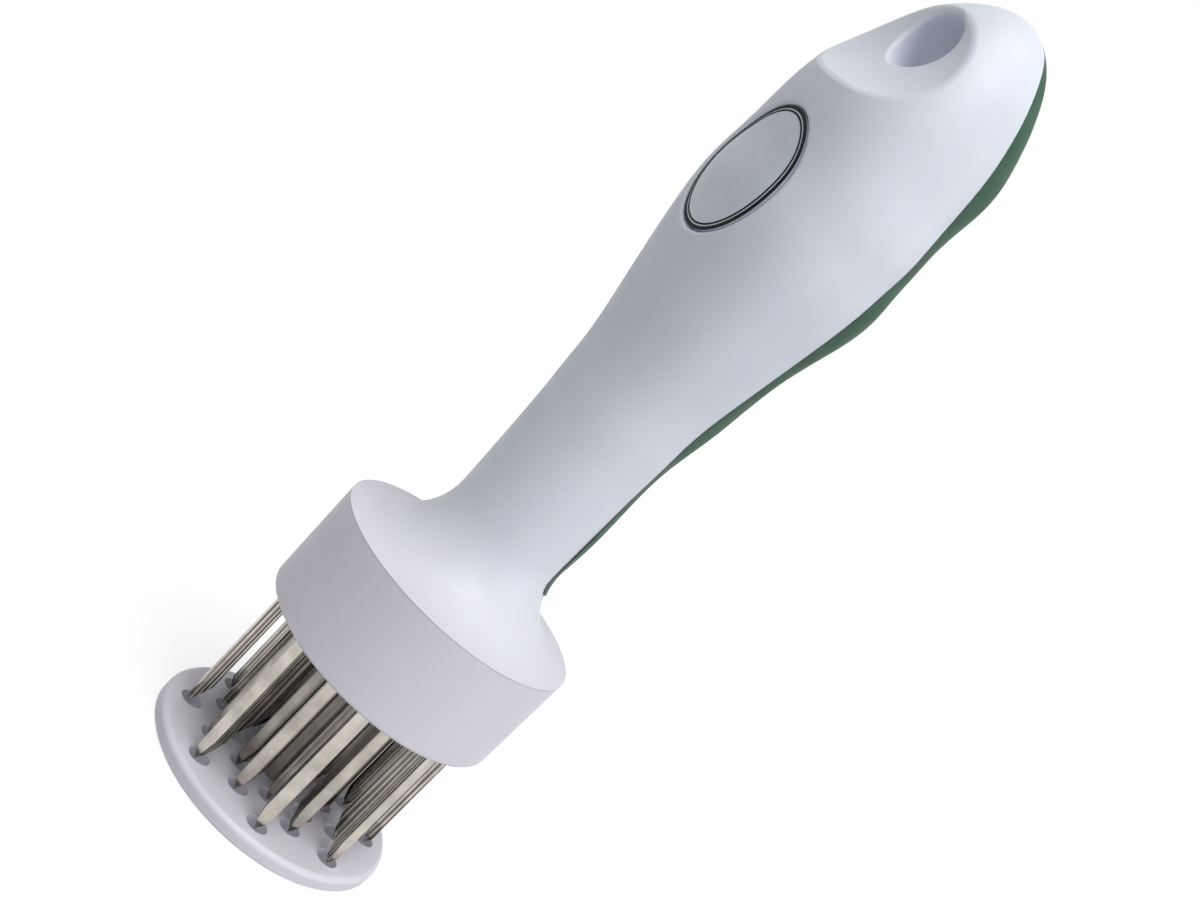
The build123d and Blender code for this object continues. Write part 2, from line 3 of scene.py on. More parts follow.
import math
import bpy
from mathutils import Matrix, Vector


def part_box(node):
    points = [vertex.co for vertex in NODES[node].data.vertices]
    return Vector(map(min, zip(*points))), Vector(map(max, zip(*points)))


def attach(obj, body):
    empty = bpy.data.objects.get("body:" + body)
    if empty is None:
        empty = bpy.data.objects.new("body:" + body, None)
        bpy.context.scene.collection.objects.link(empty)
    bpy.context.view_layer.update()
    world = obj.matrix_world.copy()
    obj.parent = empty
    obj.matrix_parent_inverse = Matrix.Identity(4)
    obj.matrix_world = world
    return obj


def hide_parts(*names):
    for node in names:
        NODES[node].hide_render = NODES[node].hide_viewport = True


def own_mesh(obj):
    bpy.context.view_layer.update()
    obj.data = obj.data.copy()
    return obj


bl_info = {
    "name": "Blade Meat Tenderizer",
    "version": (1, 0, 0),
    "blender": (4, 5, 0),
    "location": "View3D > Sidebar > Tenderizer",
    "description": "Gives the tenderizer its plastics, rubber and steels, and a pale studio",
    "category": "Object",
}

import bmesh
import bpy
from bpy.props import FloatProperty, FloatVectorProperty, PointerProperty
from mathutils import Euler, Matrix, Vector
from mathutils.bvhtree import BVHTree

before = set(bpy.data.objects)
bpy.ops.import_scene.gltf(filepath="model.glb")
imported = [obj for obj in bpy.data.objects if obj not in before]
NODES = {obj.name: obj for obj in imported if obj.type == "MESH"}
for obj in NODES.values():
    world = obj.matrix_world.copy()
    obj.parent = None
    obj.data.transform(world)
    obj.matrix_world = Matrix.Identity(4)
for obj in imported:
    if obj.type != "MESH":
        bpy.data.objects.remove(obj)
MM = 0.001

BLADES = [n for n in sorted(NODES) if n.startswith("blade_") and n != "blade_carrier"]
BLADE_TIP = min(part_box(name)[0].z for name in BLADES)
HEAD_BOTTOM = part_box("handle_shell")[0].z

WHITE = (1, 1, 1, 1)
NOISE_RANGE = {"From Min": 0.35, "From Max": 0.65}  # where most of a noise's values lie
ALONG_AXIS = (1, 1, 0.02)         # draws a pattern out along the tool's axis
ACROSS_POINT = (0.12, 0.12, 1)    # draws it out across a blade
ROUND_POST = (0.03, 0.03, 1)      # draws it out far enough to run round the post
POINT_BLEND = 0.3 * MM            # above and below the point's end, where its grinding sets in
INSIDE_PAINTED_SHADE = 0.5             # share of the seam colour painted as shade on the blades nearest the axis
TIP_PAINTED_SHADE = 0.8                # and the share painted as shade at their very tips
FLANK_COSINE = 0.55               # a blade's side is a flank, darkened as painted shade, up to this cosine from outward
FACE_COSINE = 0.75                # and its outward face, left bright, from this one on
WALL_TOP_LINE_TONE = 0.76           # the head's fine line, as a share of its white

LINE_STEPS = 128                  # steps round the badge's printed lines
FLOOR_SIDES = 96
FRONT = Vector((1, -1, 0)).normalized()  # where the sky is brightest
DARK_FACING = -0.45               # cosine from FRONT at which it is darkest
SENSOR_WIDTH = 36.0               # mm, as the lens is given for
NEAREST_SEEN = 10 * MM            # from the camera


def srgb(code):
    """A hex colour as the linear colour that shaders work in."""
    channels = [int(code[i : i + 2], 16) / 255 for i in (1, 3, 5)]
    return [c / 12.92 if c <= 0.04045 else ((c + 0.055) / 1.055) ** 2.4 for c in channels]


def colour(label, description, code):
    """A colour setting with its default given in hex."""
    return FloatVectorProperty(
        name=label,
        description=description,
        subtype="COLOR",
        size=3,
        min=0,
        max=1,
        default=srgb(code),
    )


def length(label, description, millimetres):
    """A length setting with its default given in millimetres."""
    return FloatProperty(
        name=label,
        description=description,
        unit="LENGTH",
        precision=5,
        default=millimetres * MM,
    )


def power(label, watts):
    """A lamp's power setting, in watts."""
    return FloatProperty(name=label, description="Power of the lamp", unit="POWER", default=watts)


# ---- settings --------------------------------------------------------------------------
class TenderizerColours(bpy.types.PropertyGroup):
    """Colours of the finishes"""

    white: colour("White plastic", "Handle and neck", "#e8eef8")
    white_shade: colour("White plastic shade", "Darker clouds where the melt flowed", "#e4eaf4")
    head_white: colour("Head white", "Warmer white of the head and the guard disc", "#eae8f2")
    green: colour("Soft grip", "Finger side of the handle", "#265039")
    green_shade: colour("Soft grip shade", "Darker clouds in the rubber", "#1f4330")
    badge: colour("Badge", "Plain oval plate in the palm", "#d6e0ea")
    badge_line: colour("Badge line", "Printed lines round the edge of the badge", "#0d1317")
    carrier: colour("Blade carrier", "Plug that the blades hang in", "#c9cad3")
    blade: colour("Blade steel", "Folded and ground stainless strip", "#c7c1b6")
    # The seams' colour also serves as painted shade on the flanks, near the axis and at the tips.
    blade_seam_and_shade: colour("Blade seams", "Dark joints between the strip's layers", "#2b2723")
    post: colour("Post steel", "Turned guide post", "#a49e96")
    spring: colour("Spring steel", "Drawn wire of the return spring", "#8d8b88")
    plated: colour("Plated steel", "Screws, clip and clamp plate", "#b4b5b8")
    paper: colour("Paper", "Backdrop paper that the tool stands on", "#a8a8ab")
    paper_shade: colour("Paper shade", "Darker mottling of the paper", "#a4a4a8")


class TenderizerSizes(bpy.types.PropertyGroup):
    """Real sizes of grains, marks, lines and travel"""

    # The real grains are about 0.1 mm: they are drawn about three times as coarse, to show.
    moulding_grain: length("Moulding grain", "Grain of the spark-eroded mould", 0.35)
    moulding_depth: length("Moulding depth", "Depth of the mould's grain", 0.006)
    grip_grain: length("Grip grain", "Grain of the soft rubber", 0.28)
    grip_depth: length("Grip depth", "Depth of the rubber's grain", 0.015)
    flow_size: length("Flow clouds", "Size of the faint clouds in the plastics", 22.0)
    warm_end: length("Warm end", "Height where the head's warmer white begins to fade", 45.0)
    cool_start: length("Cool start", "Height from which the handle is cooler white", 75.0)
    head_wall: length("Head wall", "Height of the head's straight wall", 20.55)
    wall_top_line: length("Wall top line", "Width of the line at the top of the head's wall", 0.28)

    # A fine belt's lines are about 0.03 mm wide: they are drawn twice as wide, to show.
    grind_line: length("Grinding line", "Width of one grinding line on the blades", 0.07)
    grind_depth: length("Grinding depth", "Depth of the grinding lines", 0.0012)
    stain_size: length("Stain size", "Size of the dull patches on the blades", 4.2)
    point_length: length("Blade point", "Length of the ground spear point", 5.6)
    # The darkened end of the point is painted shade.
    tip_shade_length: length("Tip shade", "Length of the darkened end of the point", 2.4)
    layer_pitch: length("Layer pitch", "Thickness of one layer of the folded strip", 0.75)
    # Painted shade on the blades deepens from the outer of these radii in to the inner.
    full_shade_radius: length("Full shade radius", "From the axis to the most shaded blades", 10.0)
    shade_end_radius: length("Shade end radius", "From the axis to where blades are bright", 19.0)

    turning_pitch: length("Turning pitch", "Pitch of the lathe marks on the post", 0.16)
    turning_depth: length("Turning depth", "Depth of the lathe marks", 0.0012)
    post_stain_size: length("Post stain size", "Size of the dull patches on the post", 4.8)
    wire_patch: length("Wire patch", "Size of the dull patches on the spring's wire", 0.42)
    plating_cloud: length("Plating cloud", "Size of the clouds in the plating", 0.84)
    guard_travel: length("Guard travel", "How far the guard slides up when pressed", 28.7)

    edge_line_inset: length("Edge line inset", "From the badge's edge to its thick line", 0.02)
    edge_line_width: length("Edge line width", "Width of the badge's thick line", 0.68)
    inner_line_inset: length("Inner line inset", "From the badge's edge to its thin line", 0.93)
    inner_line_width: length("Inner line width", "Width of the badge's thin line", 0.36)
    ink_height: length("Ink height", "Thickness of the printed lines", 0.03)


class TenderizerStudio(bpy.types.PropertyGroup):
    """Camera, floor, lamps and sky"""

    lens: FloatProperty(
        name="Lens", description="Focal length of the camera", unit="CAMERA", default=47.9
    )
    camera_place: FloatVectorProperty(
        name="Camera place",
        description="Where the camera stands",
        subtype="TRANSLATION",
        default=(0.2259, -0.1495, 0.1384),
    )
    camera_aim: FloatVectorProperty(
        name="Camera aim",
        description="Point in the middle of the view",
        subtype="TRANSLATION",
        default=(0.0007, 0.0010, 0.0871),
    )
    camera_roll: FloatProperty(
        name="Camera roll",
        description="Turn of the camera about its view",
        subtype="ANGLE",
        default=math.radians(44.35),
    )
    floor_radius: length("Floor radius", "Radius of the pale floor", 1600.0)
    floor_mottle: length("Floor mottle", "Size of the paper's mottling", 200.0)
    floor_lift: FloatProperty(
        name="Floor lift", description="White added where the floor is looked at", default=0.70
    )
    shadow_reach: length("Shadow reach", "Radius of the floor that shows the shadow", 300.0)
    overhead_power: power("Overhead lamp", 5.3)
    key_power: power("Key lamp", 10.2)
    side_power: power("Side lamp", 8.0)
    lamp_size: length("Lamp size", "Diameter of each soft lamp", 1000.0)
    lamp_distance: length("Lamp distance", "From the middle of the tool to a lamp", 1500.0)
    sky_bright: FloatProperty(
        name="Bright sky", description="Strength of the sky in front", default=0.53
    )
    sky_dark: FloatProperty(
        name="Dark sky", description="Strength of the sky behind", default=0.04
    )


def settings():
    """The scene's colours and sizes."""
    scene = bpy.context.scene
    return scene.tenderizer_colours, scene.tenderizer_sizes


# ---- shading ---------------------------------------------------------------------------
def add_node(tree, kind, sockets=None, **options):
    """Add a shader node; its sockets, by name or number, take a value, an output or a node."""
    node = tree.nodes.new("ShaderNode" + kind)
    for option, value in options.items():
        setattr(node, option, value)
    for key, value in (sockets or {}).items():
        in_use = [s for s in node.inputs if s.enabled and s.name == key]
        socket = in_use[0] if in_use else node.inputs[key]
        if isinstance(value, bpy.types.Node):
            value = next(s for s in value.outputs if s.enabled)
        if isinstance(value, bpy.types.NodeSocket):
            tree.links.new(value, socket)
        else:
            socket.default_value = value
    return node


def new_material(name):
    """An empty material, with object coordinates in metres."""
    material = bpy.data.materials.new(name)
    material.use_nodes = True
    material.node_tree.nodes.clear()
    texture_places = add_node(material.node_tree, "TexCoord")
    return material, material.node_tree, texture_places.outputs["Object"]


def surface(tree, sockets):
    """Close a material with its shader, from plain values and patterns."""
    add_node(tree, "OutputMaterial", {"Surface": add_node(tree, "BsdfPrincipled", sockets)})


def rgba(values, share=1.0):
    """A colour for a socket, made darker or lighter by a share."""
    return (*(share * channel for channel in values), 1.0)


def patches(tree, place, size, detail, low=0.0, high=1.0):
    """Soft patches of one real size in metres, as a value from low to high."""
    noise = add_node(tree, "TexNoise", {"Vector": place, "Scale": 1 / size, "Detail": detail})
    sockets = {"Value": noise, **NOISE_RANGE, "To Min": low, "To Max": high}
    return add_node(tree, "MapRange", sockets)


def two_shades(tree, place, size, detail, first, second):
    """A colour that drifts between two shades, in patches of one real size in metres."""
    amount = patches(tree, place, size, detail)
    return add_node(tree, "Mix", {"Factor": amount, "A": first, "B": second}, data_type="RGBA")


def pressed_grain(tree, place, size, detail, depth):
    """The surface's normal under a grain of one real size and depth in metres."""
    noise = add_node(tree, "TexNoise", {"Vector": place, "Scale": 1 / size, "Detail": detail})
    return add_node(tree, "Bump", {"Height": noise, "Distance": depth})


def worked_marks(tree, marks, depth, low, high):
    """Marks of a tool as the roughness between low and high, and as a normal of their depth."""
    sockets = {"Value": marks, **NOISE_RANGE, "To Min": low, "To Max": high}
    return {
        "Roughness": add_node(tree, "MapRange", sockets),
        "Normal": add_node(tree, "Bump", {"Height": marks, "Distance": depth}),
    }


def ring_line(tree, height, bottom, top):
    """1 between two heights, with a soft fifth of the line at each side, else 0."""
    soft = (top - bottom) / 5
    rise_ends = {"From Min": bottom, "From Max": bottom + soft, "To Min": 0.0, "To Max": 1.0}
    fall_ends = {"From Min": top - soft, "From Max": top, "To Min": 1.0, "To Max": 0.0}
    rise = add_node(tree, "MapRange", {"Value": height, **rise_ends})
    fall = add_node(tree, "MapRange", {"Value": height, **fall_ends})
    return add_node(tree, "Math", {0: rise, 1: fall}, operation="MULTIPLY")


def layer_seams_and_flank_shade(tree, place, level, pitch):
    """Seams between a folded strip's layers, here strong, there faint, on its flanks as painted
    shade.
    """
    upright = add_node(tree, "Mapping", {"Vector": place, "Scale": ALONG_AXIS})
    # Rings of this texture are pi / 10 of its scaled coordinates apart.
    rings = {"Vector": upright, "Scale": math.pi / (10 * pitch), "Distortion": 8.0, "Detail": 2.0}
    wave = add_node(tree, "TexWave", rings, wave_type="RINGS", rings_direction="Z")
    dark_half = {"From Min": 0.25, "From Max": 0.52, "To Min": 0.0, "To Max": 1.0}
    seams_and_shade = add_node(tree, "MapRange", {"Value": wave.outputs["Fac"], **dark_half})
    outward = add_node(tree, "VectorMath", {0: level}, operation="NORMALIZE")
    facing = add_node(
        tree,
        "VectorMath",
        {0: outward, 1: place.node.outputs["Normal"]},
        operation="DOT_PRODUCT",
    )
    cosine = add_node(tree, "Math", {0: facing}, operation="ABSOLUTE")
    # Only sideways faces get the seams: there they stand in as painted shade on the flanks.
    flank_ends = {"From Min": FLANK_COSINE, "From Max": FACE_COSINE, "To Min": 1.0, "To Max": 0.0}
    flank_shade = add_node(tree, "MapRange", {"Value": cosine, **flank_ends})
    for factor in (flank_shade, patches(tree, upright, 2 * pitch, 2.0, low=0.50)):
        seams_and_shade = add_node(tree, "Math", {0: seams_and_shade, 1: factor}, operation="MULTIPLY")
    return seams_and_shade


def white_when_seen(tree):
    """1 for rays that look at the background, straight or by reflection, else 0."""
    path = add_node(tree, "LightPath")
    total = path.outputs["Is Camera Ray"]
    for name in ("Is Glossy Ray", "Is Transmission Ray"):
        total = add_node(tree, "Math", {0: total, 1: path.outputs[name]}, operation="MAXIMUM")
    return total


# ---- materials -------------------------------------------------------------------------
def moulded_white_polypropylene(colours, sizes):
    """Moulded polypropylene: a satin, slightly waxy white whose highlights the mould's grain
    breaks up, cooler on the handle than on the head, with a fine line round the head."""
    material, tree, place = new_material("moulded_white_polypropylene")
    cool = two_shades(
        tree, place, sizes.flow_size, 3.0, rgba(colours.white), rgba(colours.white_shade)
    )
    height = add_node(tree, "SeparateXYZ", {"Vector": place}).outputs["Z"]
    fade = {"From Min": sizes.warm_end, "From Max": sizes.cool_start, "To Min": 1.0, "To Max": 0.0}
    warmth = add_node(tree, "MapRange", {"Value": height, **fade})
    plain = add_node(
        tree, "Mix", {"Factor": warmth, "A": cool, "B": rgba(colours.head_white)}, data_type="RGBA"
    )
    # A darker line round the head where its straight wall meets the shoulder.
    wall_top = HEAD_BOTTOM + sizes.head_wall
    line = ring_line(tree, height, wall_top - sizes.wall_top_line, wall_top)
    line_colour = rgba(colours.head_white, WALL_TOP_LINE_TONE)
    lined = add_node(
        tree, "Mix", {"Factor": line, "A": plain, "B": line_colour}, data_type="RGBA"
    )
    surface(tree, {
        "Base Color": lined,
        "Roughness": patches(tree, place, sizes.flow_size / 4, 2.0, 0.40, 0.48),
        "IOR": 1.49,
        "Subsurface Weight": 0.08,
        "Subsurface Scale": 0.8 * MM,
        "Normal": pressed_grain(tree, place, sizes.moulding_grain, 1.0, sizes.moulding_depth),
    })
    return material


def overmoulded_green_rubber(colours, sizes):
    """Overmoulded thermoplastic rubber: matt dark green with a velvety grain, rubbed here and
    there, and a slight sheen where it turns away."""
    material, tree, place = new_material("overmoulded_green_rubber")
    green, shade = rgba(colours.green), rgba(colours.green_shade)
    surface(tree, {
        "Base Color": two_shades(tree, place, sizes.flow_size / 2, 3.0, green, shade),
        "Roughness": patches(tree, place, sizes.flow_size / 3, 2.0, 0.58, 0.70),
        "IOR": 1.48,
        "Sheen Weight": 0.04,
        "Sheen Roughness": 0.4,
        "Normal": pressed_grain(tree, place, sizes.grip_grain, 2.0, sizes.grip_depth),
    })
    return material


def lacquered_abs_badge(colours, sizes):
    """Moulded ABS under clear lacquer: cool pale white, glossy and domed, with the faintest
    ripple."""
    material, tree, place = new_material("lacquered_abs_badge")
    pale, shade = rgba(colours.badge), rgba(colours.badge, 0.94)
    ripple = add_node(
        tree, "TexNoise", {"Vector": place, "Scale": 3 / sizes.flow_size, "Detail": 1.0}
    )
    surface(tree, {
        "Base Color": two_shades(tree, place, sizes.flow_size / 5, 2.0, pale, shade),
        "IOR": 1.5,
        "Coat Weight": 0.4,
        **worked_marks(tree, ripple, sizes.moulding_depth, 0.24, 0.29),
    })
    return material


def screen_printed_ink(colours, sizes):
    """Screen-printed ink: near-black, slightly uneven, far duller than the plate under it."""
    material, tree, place = new_material("screen_printed_ink")
    black, lighter = rgba(colours.badge_line), rgba(colours.badge_line, 1.35)
    surface(tree, {
        "Base Color": two_shades(tree, place, sizes.edge_line_width, 2.0, black, lighter),
        "Roughness": patches(tree, place, sizes.edge_line_width, 2.0, 0.55, 0.70),
        "IOR": 1.5,
        "Specular IOR Level": 0.15,
    })
    return material


def moulded_carrier_nylon(colours, sizes):
    """Moulded nylon: plain greyish white, finer and flatter than the handle."""
    material, tree, place = new_material("moulded_carrier_nylon")
    grey, shade = rgba(colours.carrier), rgba(colours.carrier, 0.9)
    surface(tree, {
        "Base Color": two_shades(tree, place, sizes.flow_size / 3, 3.0, grey, shade),
        "Roughness": patches(tree, place, sizes.flow_size / 3, 3.0, 0.45, 0.55),
        "IOR": 1.53,
        "Normal": pressed_grain(tree, place, sizes.moulding_grain, 1.0, sizes.moulding_depth),
    })
    return material


def ground_stainless_strip(colours, sizes):
    """Stainless strip, folded and ground: bright, with lines along the blade and across its
    point, dark layer joints on its flanks that paint their shade, and painted shade near the axis
    and at the point ends."""
    material, tree, place = new_material("ground_stainless_strip")
    height = add_node(tree, "SeparateXYZ", {"Vector": place}).outputs["Z"]
    level = add_node(tree, "VectorMath", {0: place, 1: (1, 1, 0)}, operation="MULTIPLY")
    radius = add_node(tree, "VectorMath", {0: level}, operation="LENGTH")
    lines = []
    for stretch in (ALONG_AXIS, ACROSS_POINT):
        drawn_out = add_node(tree, "Mapping", {"Vector": place, "Scale": stretch})
        grain = {"Vector": drawn_out, "Scale": 1 / sizes.grind_line, "Detail": 2.0}
        lines.append(add_node(tree, "TexNoise", grain))
    point_end = BLADE_TIP + sizes.point_length
    shoulder = {"From Min": point_end - POINT_BLEND, "From Max": point_end + POINT_BLEND}
    on_point = add_node(
        tree, "MapRange", {"Value": height, **shoulder, "To Min": 1.0, "To Max": 0.0}
    )
    ground = add_node(
        tree, "Mix", {"Factor": on_point, "A": lines[0], "B": lines[1]}, data_type="FLOAT"
    )

    # Painted shade: blades darker towards the axis, where the inner rings stand in the outer rings'
    # shade.
    inside_shade = add_node(tree, "MapRange", {
        "Value": radius,
        "From Min": sizes.full_shade_radius,
        "From Max": sizes.shade_end_radius,
        "To Min": INSIDE_PAINTED_SHADE,
        "To Max": 0.0,
    })
    # Painted shade: the end of each point darkened, as it lies in shade within the slots.
    tip_shade = add_node(tree, "MapRange", {
        "Value": height,
        "From Min": BLADE_TIP,
        "From Max": BLADE_TIP + sizes.tip_shade_length,
        "To Min": TIP_PAINTED_SHADE,
        "To Max": 0.0,
    })
    bright, worn = rgba(colours.blade), rgba(colours.blade, 0.72)
    skin = two_shades(tree, place, sizes.stain_size, 3.0, bright, worn)
    # Painted shade near the axis, on the flanks with the seams, and at the tips, all in the seams'
    # dark colour.
    for amount in (inside_shade, layer_seams_and_flank_shade(tree, place, level, sizes.layer_pitch), tip_shade):
        shade_and_seam_colour = rgba(colours.blade_seam_and_shade)
        skin = add_node(tree, "Mix", {"Factor": amount, "A": skin, "B": shade_and_seam_colour}, data_type="RGBA")
    marks = worked_marks(tree, ground, sizes.grind_depth, 0.20, 0.34)
    surface(tree, {"Base Color": skin, "Metallic": 1.0, **marks})
    return material


def turned_steel_rod(colours, sizes):
    """Turned steel: a dark satin rod with fine lathe marks round it and dull patches."""
    material, tree, place = new_material("turned_steel_rod")
    bright, worn = rgba(colours.post), rgba(colours.post, 0.75)
    drawn_out = add_node(tree, "Mapping", {"Vector": place, "Scale": ROUND_POST})
    turns = add_node(
        tree, "TexNoise", {"Vector": drawn_out, "Scale": 1 / sizes.turning_pitch, "Detail": 2.0}
    )
    surface(tree, {
        "Base Color": two_shades(tree, place, sizes.post_stain_size, 3.0, bright, worn),
        "Metallic": 1.0,
        **worked_marks(tree, turns, sizes.turning_depth, 0.34, 0.46),
    })
    return material


def drawn_spring_steel(colours, sizes):
    """Drawn spring steel: grey wire with a dull, uneven skin."""
    material, tree, place = new_material("drawn_spring_steel")
    bright, worn = rgba(colours.spring), rgba(colours.spring, 0.7)
    surface(tree, {
        "Base Color": two_shades(tree, place, sizes.wire_patch, 3.0, bright, worn),
        "Metallic": 1.0,
        "Roughness": patches(tree, place, sizes.wire_patch, 3.0, 0.32, 0.45),
    })
    return material


def zinc_plated_steel(colours, sizes):
    """Zinc-plated steel: bright, with soft cloudy patches."""
    material, tree, place = new_material("zinc_plated_steel")
    bright, cloudy = rgba(colours.plated), rgba(colours.plated, 0.8)
    surface(tree, {
        "Base Color": two_shades(tree, place, sizes.plating_cloud, 3.0, bright, cloudy),
        "Metallic": 1.0,
        "Roughness": patches(tree, place, sizes.plating_cloud, 3.0, 0.26, 0.38),
    })
    return material


def matt_backdrop_paper(colours, studio):
    """Matt pale grey paper that catches the shadow, lifted to white where it is only looked
    at: less near the tool, so that the shadow shows."""
    material, tree, place = new_material("matt_backdrop_paper")
    pale, shade = rgba(colours.paper), rgba(colours.paper_shade)
    distance = add_node(tree, "VectorMath", {0: place}, operation="LENGTH")
    lift = add_node(tree, "MapRange", {
        "Value": distance,
        "From Min": 0.0,
        "From Max": studio.shadow_reach,
        "To Min": studio.floor_lift,
        "To Max": 1.0,
    })
    surface(tree, {
        "Base Color": two_shades(tree, place, studio.floor_mottle, 1.0, pale, shade),
        "Roughness": patches(tree, place, studio.floor_mottle, 1.0, 0.85, 0.95),
        "Emission Color": WHITE,
        "Emission Strength": add_node(
            tree, "Math", {0: white_when_seen(tree), 1: lift}, operation="MULTIPLY"
        ),
    })
    return material


def finish_nodes(material, *names):
    """Give the frame's own pieces a finish."""
    for name in names:
        slots = NODES[name].data.materials
        slots.clear()
        slots.append(material)


# ---- operators -------------------------------------------------------------------------
class TENDERIZER_OT_white_parts(bpy.types.Operator):
    """Finish the handle with its head, and the guard disc, in moulded white"""

    bl_idname = "tenderizer.white_parts"
    bl_label = "White Plastic Parts"

    def execute(self, context):
        finish_nodes(moulded_white_polypropylene(*settings()), "handle_shell", "guard_disc")
        return {"FINISHED"}


class TENDERIZER_OT_soft_grip(bpy.types.Operator):
    """Finish the finger side of the handle in soft green rubber"""

    bl_idname = "tenderizer.soft_grip"
    bl_label = "Soft Grip"

    def execute(self, context):
        finish_nodes(overmoulded_green_rubber(*settings()), "soft_grip")
        return {"FINISHED"}


class TENDERIZER_OT_badge(bpy.types.Operator):
    """Finish the plain oval badge and lay two printed lines round its edge"""

    bl_idname = "tenderizer.badge"
    bl_label = "Badge"

    def execute(self, context):
        colours, sizes = settings()
        finish_nodes(lacquered_abs_badge(colours, sizes), "badge_plate")
        ink = screen_printed_ink(colours, sizes)
        lines = (
            ("badge_edge_line", sizes.edge_line_inset, sizes.edge_line_width),
            ("badge_inner_line", sizes.inner_line_inset, sizes.inner_line_width),
        )
        for name, inset, width in lines:
            line = self.printed_line(name, inset, width, sizes.ink_height)
            line.data.materials.append(ink)
            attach(line, "handle")
        return {"FINISHED"}

    def printed_line(self, name, inset, width, ink_height):
        """A thin closed band of ink that follows the plate's curved face."""
        low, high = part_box("badge_plate")
        centre = (low + high) / 2
        half_width, half_height = (high.x - low.x) / 2, (high.z - low.z) / 2
        plate = BVHTree.FromObject(
            NODES["badge_plate"], bpy.context.evaluated_depsgraph_get()
        )
        shape = bmesh.new()
        rings = []
        for step in range(LINE_STEPS):
            turn = 2 * math.pi * step / LINE_STEPS
            ring = []
            for edge in (inset, inset + width):
                x = (half_width - edge) * math.cos(turn)
                z = centre.z + (half_height - edge) * math.sin(turn)
                start = Vector((x, low.y - 10 * MM, z))
                hit, normal, _, _ = plate.ray_cast(start, Vector((0, 1, 0)))
                ring += [shape.verts.new(hit), shape.verts.new(hit + ink_height * normal)]
            rings.append(ring)
        for index, ring in enumerate(rings):
            following = rings[(index + 1) % LINE_STEPS]
            for a, b in ((0, 1), (1, 3), (3, 2), (2, 0)):
                shape.faces.new((ring[a], ring[b], following[b], following[a]))
        bmesh.ops.recalc_face_normals(shape, faces=shape.faces)
        mesh = bpy.data.meshes.new(name)
        shape.to_mesh(mesh)
        shape.free()
        line = bpy.data.objects.new(name, mesh)
        bpy.context.scene.collection.objects.link(line)
        return line


class TENDERIZER_OT_blades(bpy.types.Operator):
    """Finish the rings of folded blades in ground stainless steel"""

    bl_idname = "tenderizer.blades"
    bl_label = "Blades"

    def execute(self, context):
        finish_nodes(ground_stainless_strip(*settings()), *BLADES)
        return {"FINISHED"}


class TENDERIZER_OT_carrier(bpy.types.Operator):
    """Finish the blade carrier and the bush in plain moulded nylon"""

    bl_idname = "tenderizer.carrier"
    bl_label = "Blade Carrier"

    def execute(self, context):
        finish_nodes(moulded_carrier_nylon(*settings()), "blade_carrier", "guide_bush")
        return {"FINISHED"}


class TENDERIZER_OT_guide(bpy.types.Operator):
    """Finish the guide post and its collar, and the return spring, copied as a piece of its own"""

    bl_idname = "tenderizer.guide"
    bl_label = "Guide Post and Spring"

    def execute(self, context):
        finish_nodes(turned_steel_rod(*settings()), "guide_post", "stop_collar")
        finish_nodes(drawn_spring_steel(*settings()), "return_spring")
        self.coil_spring(context.scene.tenderizer_sizes.guard_travel)
        return {"FINISHED"}

    def coil_spring(self, travel):
        """The spring as a copied piece carried by the handle, in place of the hidden frame spring.
        """
        spring = NODES["return_spring"].copy()
        spring.data = spring.data.copy()
        spring.name = spring.data.name = "coil_spring"
        bpy.context.scene.collection.objects.link(spring)
        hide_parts("return_spring")
        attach(spring, "handle")
        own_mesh(spring)


class TENDERIZER_OT_fasteners(bpy.types.Operator):
    """Finish screws, clip, washer and clamp plate in plated steel"""

    bl_idname = "tenderizer.fasteners"
    bl_label = "Fasteners"

    def execute(self, context):
        plated = zinc_plated_steel(*settings())
        screws = ("carrier_screws", "guard_screw")
        finish_nodes(plated, *screws, "clamp_plate", "retaining_clip", "spring_seat")
        return {"FINISHED"}


